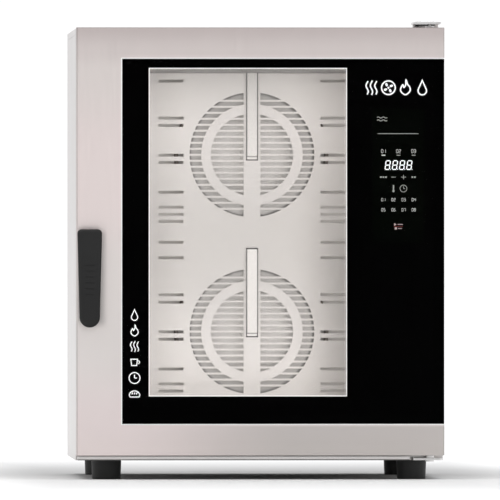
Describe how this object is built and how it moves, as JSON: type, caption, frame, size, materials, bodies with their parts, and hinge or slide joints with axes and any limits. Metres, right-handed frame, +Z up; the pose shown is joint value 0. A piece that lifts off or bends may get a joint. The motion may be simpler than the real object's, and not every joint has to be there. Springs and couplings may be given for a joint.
{
  "type": "combi steamer oven",
  "caption": "Countertop combi steamer oven with a full-width glazed door on side hinges, turn handle, slotted fan baffle, wire racks and levelling feet.",
  "frame": {"origin": "on the floor, under the middle of the bounding box", "axes": "+Z up, door faces -Y, door hinge on the +X side"},
  "size_m": [0.76, 0.924, 0.9476],
  "materials": {
    "stainless": "fine vertical satin grain",
    "polished_steel": "cold-rolled, slightly bright",
    "mineral_wool": "pressed mineral wool",
    "galvanised": "zinc coated sheet",
    "silicone": "soft matte",
    "heater_sheath": "oxidised tube",
    "cast_motor": "dark grey painted casting",
    "seal_bronze": "plain bearing bronze",
    "chrome_wire": "electropolished wire",
    "hinge_steel": "machined",
    "screw_steel": "A2 screw",
    "circuit_green": "solder mask",
    "black_plastic": "moulded",
    "brass_body": "machined",
    "clear_glass": "tempered, polished",
    "black_glass": "black enamel behind glass",
    "bright_trim": "bright anodised",
    "led_diffuser": "opal diffuser",
    "handle_plastic": "anthracite, fine texture",
    "foot_rubber": "black moulded nylon"
  },
  "bodies": {
    "cabinet": {"base_frame": "stainless", "drip_gutter": "stainless", "side_panel_left": "stainless", "side_panel_right": "stainless", "top_cover": "stainless", "rear_panel": "stainless", "front_frame": "stainless", "cavity_liner": "polished_steel", "insulation_slabs": "mineral_wool", "bulkhead": "galvanised", "door_gasket": "silicone", "fan_baffle": "polished_steel", "baffle_screws": "polished_steel", "tube_covers": "polished_steel", "water_tubes": "polished_steel", "heating_elements": "heater_sheath", "fan_motors": "cast_motor", "shaft_seals": "seal_bronze", "rack_left": "chrome_wire", "rack_right": "chrome_wire", "cavity_probe": "polished_steel", "drain_pipe": "polished_steel", "exhaust_pipe": "polished_steel", "hinge_bracket_top": "hinge_steel", "hinge_bracket_bottom": "hinge_steel", "hinge_pins": "hinge_steel", "hinge_screws": "screw_steel", "latch_keeper": "hinge_steel", "keeper_rollers": "hinge_steel", "power_board": "circuit_green", "cable_gland": "black_plastic", "water_valve": "brass_body", "cooling_fan_frame": "black_plastic", "panel_screws": "screw_steel"},
    "door": {"door_frame": "stainless", "outer_glass": "clear_glass", "glass_mask": "black_glass", "glass_edge_trim": "bright_trim", "window_spacer": "bright_trim", "inner_glass": "clear_glass", "door_inner_panel": "polished_steel", "inner_glass_clips": "screw_steel", "touch_board": "circuit_green", "display_module": "black_plastic", "electronics_cover": "galvanised", "led_strips": "led_diffuser", "handle_bush": "handle_plastic", "hinge_bushes": "seal_bronze"},
    "handle": {"handle_lever": "handle_plastic", "handle_spindle": "hinge_steel", "latch_bullet": "hinge_steel"},
    "fan_upper": {"fan_wheel_upper": "polished_steel", "fan_shaft_upper": "hinge_steel"},
    "fan_lower": {"fan_wheel_lower": "polished_steel", "fan_shaft_lower": "hinge_steel"},
    "cooling_rotor": {"cooling_fan_rotor": "black_plastic"},
    "leveller_front_left": {"foot_front_left": "foot_rubber"},
    "leveller_front_right": {"foot_front_right": "foot_rubber"},
    "leveller_rear_left": {"foot_rear_left": "foot_rubber"},
    "leveller_rear_right": {"foot_rear_right": "foot_rubber"}
  },
  "joints": [
    {"name": "door_hinge", "type": "hinge", "parent": "cabinet", "child": "door", "pos_m": [0.3504, -0.39, 0.49], "axis": [0, 0, 1], "range_deg": [0, 120]},
    {"name": "handle_turn", "type": "hinge", "parent": "door", "child": "handle", "pos_m": [-0.3535, -0.438, 0.488], "axis": [0, 1, 0], "range_deg": [-45, 45], "stiffness_Nm_per_rad": 1.5},
    {"name": "upper_fan_spin", "type": "hinge", "parent": "cabinet", "child": "fan_upper", "pos_m": [0, 0.182, 0.674], "axis": [0, 1, 0], "continuous": true},
    {"name": "lower_fan_spin", "type": "hinge", "parent": "cabinet", "child": "fan_lower", "pos_m": [0, 0.182, 0.303], "axis": [0, 1, 0], "continuous": true},
    {"name": "cooling_fan_spin", "type": "hinge", "parent": "cabinet", "child": "cooling_rotor", "pos_m": [0.23, 0.412, 0.78], "axis": [0, 1, 0], "continuous": true},
    {"name": "foot_front_left_travel", "type": "slide", "parent": "cabinet", "child": "leveller_front_left", "axis": [0, 0, -1], "range_m": [0, 0.012]},
    {"name": "foot_front_right_travel", "type": "slide", "parent": "cabinet", "child": "leveller_front_right", "axis": [0, 0, -1], "range_m": [0, 0.012]},
    {"name": "foot_rear_left_travel", "type": "slide", "parent": "cabinet", "child": "leveller_rear_left", "axis": [0, 0, -1], "range_m": [0, 0.012]},
    {"name": "foot_rear_right_travel", "type": "slide", "parent": "cabinet", "child": "leveller_rear_right", "axis": [0, 0, -1], "range_m": [0, 0.012]}
  ]
}
